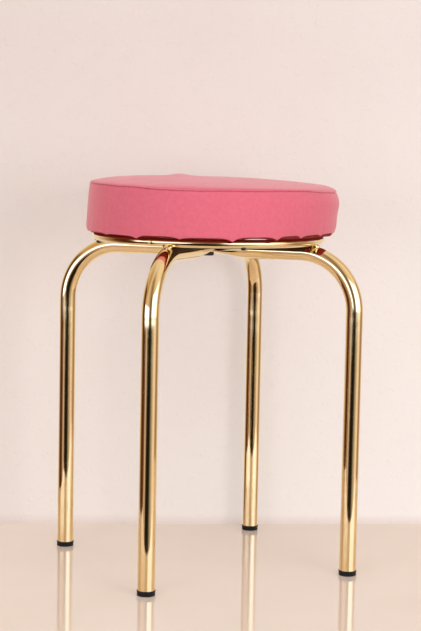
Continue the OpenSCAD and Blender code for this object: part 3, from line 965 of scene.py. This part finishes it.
def swelling(rows):
    """Points of the coarse pad and how far each moves when the foam fills the cover."""
    coarse = coarse_pad(rows)
    before = mesh_points(coarse.data)
    held = coarse.vertex_groups.new(name="held")
    for i, (x, y, z) in enumerate(before):
        out = math.hypot(x, y)
        firm = 1.0 if z < board_high.z + 3 * MM else 0.0
        seam = 0.5 * float(bell(z - SEAM_Z, 5 * MM) * bell(out - SEAM_R, 5 * MM))
        held.add([i], max(firm, seam), "REPLACE")
    cloth = coarse.modifiers.new("Swell", "CLOTH")
    felt = cloth.settings
    felt.quality, felt.mass, felt.air_damping = 6, 0.35, 3
    felt.tension_stiffness, felt.compression_stiffness = 25, 25
    felt.shear_stiffness, felt.bending_stiffness = 12, 4
    felt.vertex_group_mass = "held"
    felt.use_pressure, felt.uniform_pressure_force = True, PRESSURE
    felt.effector_weights.gravity = 0
    cloth.point_cache.frame_start, cloth.point_cache.frame_end = 1, FRAMES
    for step in range(1, FRAMES + 1):
        scene.frame_set(step)
    after = mesh_points(coarse.evaluated_get(bpy.context.evaluated_depsgraph_get()).data)
    bpy.data.objects.remove(coarse)
    scene.frame_set(1)
    move = after - before
    far = np.linalg.norm(move, axis=1)
    most = round(float(far.max()) / MM, 1)
    print("The coarse pad's", len(before), "points moved up to", most, "mm")
    return before, move * np.minimum(1, MOVE_CAP / np.maximum(far, 1e-9))[:, None]


def hand_over(rows, before, move):
    """Moves the fine rows by the mean movement of the coarse points around them."""
    tree = KDTree(len(before))
    for i, point in enumerate(before):
        tree.insert(point, i)
    tree.balance()
    for i, kind in enumerate(kinds):
        if kind in FOLLOW:
            for k in range(rows.shape[1]):
                found = tree.find_n(rows[i, k], NEIGHBOURS)
                weights = [math.exp(-((d / REACH_OF_ONE) ** 2)) + 1e-9 for _, _, d in found]
                share = np.array(weights)
                rows[i, k] += FOLLOW[kind] * (share @ move[[n for _, n, _ in found]]) / share.sum()
    return rows


rows = hand_over(rows, *swelling(rows))
print("The pad reaches", round(float(rows[..., 2].max()) / MM, 1), "mm high")

# %% Make the pad
pad = skin("felt_seat_pad", rows, sharp=60)
dress(pad, pink_felt, "pink_felt", "foam_pad", "cover_top_panel", "cover_side_band")
# Faces that point down under the disc take the darker felt, as painted shade
pad.data.materials.append(felt_in_painted_shade)
UNDER_Z = HEM_Z + 8 * MM
turned_under = [f for f in pad.data.polygons if f.normal.z < -0.7 and f.center.z < UNDER_Z]
for face in turned_under:
    face.material_index = 1
print("Faces turned under the disc:", len(turned_under))

# %% [markdown]
# ## The seam's stitches
#
# The two panels are sewn right sides together, so the thread shows only as short stitches at
# the bottom of the groove. They follow the seam, so a node tree resamples the seam's path and
# lays one short straight piece of thread along it at each step.


# %% Stitches along the seam
def stitch_tree(material):
    inputs = {"Spacing": "Float", "Length": "Float", "Radius": "Float"}
    tree, sockets, given = repeat_tree("Stitches_along_a_seam", inputs)
    path = add(tree, "GeometryNodeMeshToCurve", {"Mesh": given["Geometry"]})
    steps = {"Curve": path, "Length": given["Spacing"]}
    tangent = {"Vector": add(tree, "GeometryNodeInputTangent")}
    half = maths(tree, "MULTIPLY", given["Length"], 0.5)
    start, end = (
        add(tree, "ShaderNodeCombineXYZ", {"X": x})
        for x in (maths(tree, "MULTIPLY", half, -1), half)
    )
    bow = {"Resolution": 4, "Start": start, "Middle": (0, 0, 0), "End": end}
    hoop = {"Resolution": 6, "Radius": given["Radius"]}
    thread = {
        "Curve": add(tree, "GeometryNodeCurveQuadraticBezier", bow),
        "Profile Curve": add(tree, "GeometryNodeCurvePrimitiveCircle", hoop),
        "Fill Caps": True,
    }
    copies = {
        "Points": add(tree, "GeometryNodeResampleCurve", steps, mode="LENGTH"),
        "Instance": add(tree, "GeometryNodeCurveToMesh", thread),
        "Rotation": add(tree, "FunctionNodeAlignRotationToVector", tangent, axis="X"),
    }
    finish_tree(tree, add(tree, "GeometryNodeInstanceOnPoints", copies), material)
    return tree, sockets


seam_points = rows[kinds.index("seam") + 4]  # the bottom of the groove
seam_mesh = bpy.data.meshes.new("seam_path")
edges = [(i, (i + 1) % COLUMNS) for i in range(COLUMNS)]
seam_mesh.from_pydata(seam_points.tolist(), edges, [])
stitches = run_tree(
    "seam_stitches", new_object("seam_path", seam_mesh), *stitch_tree(rose_thread),
    {"Spacing": 3.4 * MM, "Length": 2.6 * MM, "Radius": 0.3 * MM},
)
dress(stitches, rose_thread, "sewing_thread", "seam_thread")

# %% [markdown]
# ## The stage
#
# The stool stands on a glossy pale table top, close to a plastered wall. The wall shows only
# from its front, so that views from behind aren't blocked. The table top ends a short way in
# front of the stool: past it, the metal mirrors the dark room. The far floor is only for the
# camera, so that other views stand on a floor too. The metal doesn't see the wall itself:
# the drawn room around it holds the wall's colour.

# %% Where the wall meets the floor
WALL_FOOT_PX = (523.7, 524.7)  # rows of the picture, at its left and right edge
WALL_HALF, WALL_H, REACH = 3.0, 2.4, 4.5
TABLE_LEFT, TABLE_RIGHT, TABLE_FRONT = -0.55, 0.75, 0.58


def floor_point(px, py):
    """The point of the floor that a pixel of the picture shows."""
    across, down = px - IMAGE_W / 2, py - IMAGE_H / 2
    ray = across * CAMERA_RIGHT - down * CAMERA_UP - FOCAL_PX * CAMERA_BACK
    return CAMERA_PLACE - ray * (CAMERA_PLACE.z / ray.z)


wall_left, wall_right = (floor_point(x, y) for x, y in zip((0, IMAGE_W), WALL_FOOT_PX))
along_wall = (wall_right - wall_left).normalized()
wall_middle = (wall_left + wall_right) / 2
from_wall = Vector((along_wall.y, -along_wall.x, 0))
print("The wall is", round(-wall_middle.dot(from_wall) / MM), "mm behind the stool's middle")


def stage_plane(name, *corners):
    """A flat piece of the stage. Corners: distances along the wall, out from it, and up."""
    up = Vector((0, 0, 1))
    points = [wall_middle + x * along_wall + y * from_wall + z * up for x, y, z in corners]
    mesh = bpy.data.meshes.new(name)
    mesh.from_pydata([tuple(p) for p in points], [], [(0, 1, 2, 3)])
    board = new_object(name, mesh)
    return board


def floor_piece(name, left, right, back, front):
    corners = ((left, back), (left, front), (right, front), (right, back))
    return stage_plane(name, *((x, y, 0) for x, y in corners))


wall_edges = ((-WALL_HALF, 0), (WALL_HALF, 0), (WALL_HALF, WALL_H), (-WALL_HALF, WALL_H))
wall = stage_plane("plaster_wall", *((x, 0, z) for x, z in wall_edges))
table = floor_piece("table_top", TABLE_LEFT, TABLE_RIGHT, 0, TABLE_FRONT)
floors = [
    floor_piece("front_floor", TABLE_LEFT, TABLE_RIGHT, TABLE_FRONT, REACH),
    floor_piece("left_floor", -REACH, TABLE_LEFT, 0, REACH),
    floor_piece("right_floor", TABLE_RIGHT, REACH, 0, REACH),
    floor_piece("back_floor", -REACH, REACH, -REACH, 0),
]
for hidden in (wall, *floors):
    hidden.visible_glossy = False
wall.visible_shadow = False
print("Stage pieces:", 2 + len(floors))

# %% [markdown]
# ### Plaster and a glossy table top
#
# The plaster has low trowel waves and small raised dabs. Lamps alone would leave it uneven,
# so a share of what the camera sees on it is a haze, a plain glow of painted light that is
# brighter low down and to the right, with a painted shadow line at the foot, which also
# darkens the plaster there. The table top is lacquered: almost a mirror when seen at this
# low angle, and matt from above.


# %% Wall and table finishes
def seen_directly(tree, share):
    """The share for what the camera sees, itself or in metal, and 0 for light on the stool."""
    path = add(tree, "ShaderNodeLightPath", output=None)
    mirrored = maths(tree, "MAXIMUM", path["Is Glossy Ray"], path["Is Transmission Ray"])
    return maths(tree, "MULTIPLY", maths(tree, "MAXIMUM", path["Is Camera Ray"], mirrored), share)


def seen_from_its_front(tree, surface):
    """Makes a plane clear from behind, so that it blocks no view of the stool."""
    clear = add(tree, "ShaderNodeBsdfTransparent")
    behind = add(tree, "ShaderNodeNewGeometry", output="Backfacing")
    shown = add(tree, "ShaderNodeMixShader", {0: behind, 1: surface, 2: clear})
    tree.links.new(shown, tree.nodes["Material Output"].inputs["Surface"])


def plaster(name):
    material, tree, shader = new_material(name)
    where = object_space(tree)
    trowel = noise(tree, where, 9, 4)
    dabs = spread(tree, noise(tree, where, 110, 4, 0.6, 0.4), 0, 1, 0.56, 0.68)
    height = add(tree, "ShaderNodeSeparateXYZ", {0: where}, 2)
    along = {0: where, 1: tuple(along_wall)}
    along = add(tree, "ShaderNodeVectorMath", along, "Value", operation="DOT_PRODUCT")
    # Painted shadow: a brownish band in the lowest 14 mm of the wall, in its colour and its glow
    painted_foot_shadow = spread(tree, height, 0.55, 0, 0, 0.014)
    tone = two_tones(tree, trowel, (0.865, 0.755, 0.705), (0.885, 0.785, 0.74))
    # Painted light: the glow is brighter low down and to the right
    haze = two_tones(tree, height, (1.12, 1.02, 0.95), (0.79, 0.70, 0.65), 0, 0.65)
    side = two_tones(tree, along, (0.85, 0.83, 0.82), (1.0, 1.03, 1.06), -0.3, 0.3)
    haze = mix_colour(tree, 1.0, haze, side, "MULTIPLY")
    haze = mix_colour(tree, painted_foot_shadow, haze, (0.80, 0.62, 0.56))
    glow = add(tree, "ShaderNodeEmission", {"Color": haze})
    surface = {0: seen_directly(tree, 0.45), 1: shader.outputs[0], 2: glow}
    seen_from_its_front(tree, add(tree, "ShaderNodeMixShader", surface))
    return finished(
        material, Roughness=0.85, Specular_IOR_Level=0.2,
        Base_Color=mix_colour(tree, painted_foot_shadow, tone, (0.74, 0.56, 0.50)),
        Normal=bump(tree, dabs, 0.34, 0.0012, bump(tree, trowel, 0.12, 0.004)),
    )


def glossy_top(name):
    material, tree, shader = new_material(name)
    where = object_space(tree)
    tone = two_tones(tree, noise(tree, where, 6, 3), (0.80, 0.66, 0.555), (0.83, 0.69, 0.59))
    seen_from_its_front(tree, shader.outputs[0])
    return finished(
        material, Specular_IOR_Level=0.5, IOR=1.75, Base_Color=tone, Emission_Color=tone,
        Roughness=spread(tree, noise(tree, where, 30, 4), 0.05, 0.08),
        Emission_Strength=seen_directly(tree, 0.08),
    )


wall.data.materials.append(plaster("wall_plaster"))
top_finish = glossy_top("table_gloss")
for floor in (table, *floors):
    floor.data.materials.append(top_finish)
print("Stage finishes:", wall.data.materials[0].name, top_finish.name)

# %% [markdown]
# ## Light
#
# The light is soft and comes from the right of the camera. Square lamps as wide as a window
# give it. They don't show in the metal, which mirrors a drawn room instead.


# %% Lamps
def area_lamp(name, side, front, height, size, power):
    """A square white lamp, placed from the camera's side of the stool and aimed at its middle."""
    data = bpy.data.lights.new(name, "AREA")
    data.shape, data.size, data.energy, data.color = "SQUARE", size, power, (1.0, 1.0, 1.0)
    lamp = new_object(name, data)
    place = side * VIEW_SIDE + front * VIEW_FRONT + Vector((0, 0, height))
    lamp.location = place
    lamp.rotation_euler = (Vector((0, 0, 0.3)) - place).to_track_quat("-Z", "Y").to_euler()
    lamp.visible_glossy = False


area_lamp("window_light", 1.5, 1.9, 0.55, 0.95, 21)
area_lamp("room_fill", -1.4, 2.3, 0.5, 0.95, 15)
area_lamp("ceiling_fill", 0.0, 1.2, 2.4, 2.2, 19)

# %% [markdown]
# ### The room that the metal mirrors
#
# The bands on a polished tube are the room, squeezed together. A picture of a room would do,
# but here the room is drawn in the world by direction: a dark room behind the camera with a
# doorway on its left and a window on its right, and a pale ceiling. Each table goes once
# round the stool at one height. A stop is an angle in degrees, counted from the camera's
# side, and a colour in hundredths.

# %% Draw the room
CREAM, WINDOW = (87, 77, 70), (210, 240, 300)
LEVEL_BAND = [
    (-180, *CREAM), (-142, *CREAM), (-120, 45, 30, 18), (-104, 14, 6, 3), (-90, 7.5, 2, 0.5),
    (-72, 11, 4, 2), (-60, 20, 11, 6), (-52, 55, 40, 34), (-45, 68, 53, 50), (-36, 42, 33, 31),
    (-26, 3, 2, 1), (-4, 1, 0.8, 0.5), (8, 1.8, 1.7, 1.2), (18, 9, 8.5, 6), (30, 36, 32, 28),
    (45, 62, 51, 43), (57, 95, 80, 72), (68, 100, 84, 75), (80, 80, 63, 53), (92, 40, 26, 17),
    (104, 35, 23, 15), (120, 52, 40, 34), (142, *CREAM), (180, *CREAM),
]
UPPER_BAND = [
    (-180, *CREAM), (-142, *CREAM), (-120, 45, 30, 18), (-104, 12, 4, 1), (-88, 6, 1.5, 0.4),
    (-78, 17, 9, 5), (-73, *WINDOW), (-22, *WINDOW), (-14, 35, 28, 22), (-2, 17, 13, 10),
    (12, 25, 20, 16), (22, *WINDOW), (66, *WINDOW), (82, 120, 100, 80), (94, 45, 33, 24),
    (112, 50, 36, 27), (135, *CREAM), (180, *CREAM),
]
MIDDLE_BAND = [stop for stop in UPPER_BAND if not -80 < stop[0] < -10]
MIDDLE_BAND[5:5] = [(-76, 60, 40, 24), (-50, 85, 68, 52), (-24, 60, 48, 36)]
HIGH_BAND = [
    (-180, *CREAM), (-120, 75, 62, 45), (-92, 60, 40, 24), (-72, 56, 34, 18), (-50, 85, 68, 52),
    (-30, 62, 50, 38), (-8, 30, 22, 13), (6, 32, 25, 17), (24, 72, 60, 46), (60, 100, 86, 70),
    (95, 95, 82, 66), (120, 60, 46, 33), (150, *CREAM), (180, *CREAM),
]
# Each further band with the heights in degrees between which it takes over
BANDS_ABOVE = ((UPPER_BAND, -5.2, -4.2), (MIDDLE_BAND, 10, 14), (HIGH_BAND, 24, 30))
SHOWN_BEHIND, LIGHT_OF_ROOM, LIGHT_STRENGTH = (0.90, 0.80, 0.73), (0.90, 0.89, 0.88), 0.46


def room_ramp(tree, share, stops):
    ramp = tree.nodes.new("ShaderNodeValToRGB")
    set_input(tree, ramp.inputs["Fac"], share)
    elements = ramp.color_ramp.elements
    elements.remove(elements[-1])
    for number, (degrees, *colour) in enumerate(stops):
        position = (degrees + 180) / 360
        element = elements.new(position) if number else elements[0]
        element.position, element.color = position, [c / 100 for c in colour] + [1]
    return ramp.outputs[0]


def room_world():
    world = bpy.data.worlds.new("studio_room")
    world.use_nodes = True
    tree = world.node_tree
    ray = {"Vector": add(tree, "ShaderNodeTexCoord", output="Generated"), "Angle": -FACING}
    turned = add(tree, "ShaderNodeVectorRotate", ray, rotation_type="Z_AXIS")
    x, y, z = add(tree, "ShaderNodeSeparateXYZ", {0: turned}, None)
    around = spread(tree, maths(tree, "ARCTAN2", y, x), 0, 1, -math.pi, math.pi)
    degrees = maths(tree, "MULTIPLY", maths(tree, "ARCSINE", z), 180 / math.pi)
    room = room_ramp(tree, around, LEVEL_BAND)
    for band, start, end in BANDS_ABOVE:
        room = two_tones(tree, degrees, room, room_ramp(tree, around, band), start, end)
    room = two_tones(tree, degrees, room, [c / 100 for c in CREAM], 55, 80)
    mirrored, plain, shown = (
        add(tree, "ShaderNodeBackground", {"Color": colour, "Strength": strength})
        for colour, strength in ((room, 1.0), (LIGHT_OF_ROOM, LIGHT_STRENGTH), (SHOWN_BEHIND, 1.0))
    )
    path = add(tree, "ShaderNodeLightPath", output=None)
    light = {0: path["Is Glossy Ray"], 1: plain, 2: mirrored}
    all_rays = {0: path["Is Camera Ray"], 1: add(tree, "ShaderNodeMixShader", light), 2: shown}
    all_rays = add(tree, "ShaderNodeMixShader", all_rays)
    tree.links.new(all_rays, tree.nodes["World Output"].inputs["Surface"])
    scene.world = world


room_world()
print("Bands of the room:", 1 + len(BANDS_ABOVE))
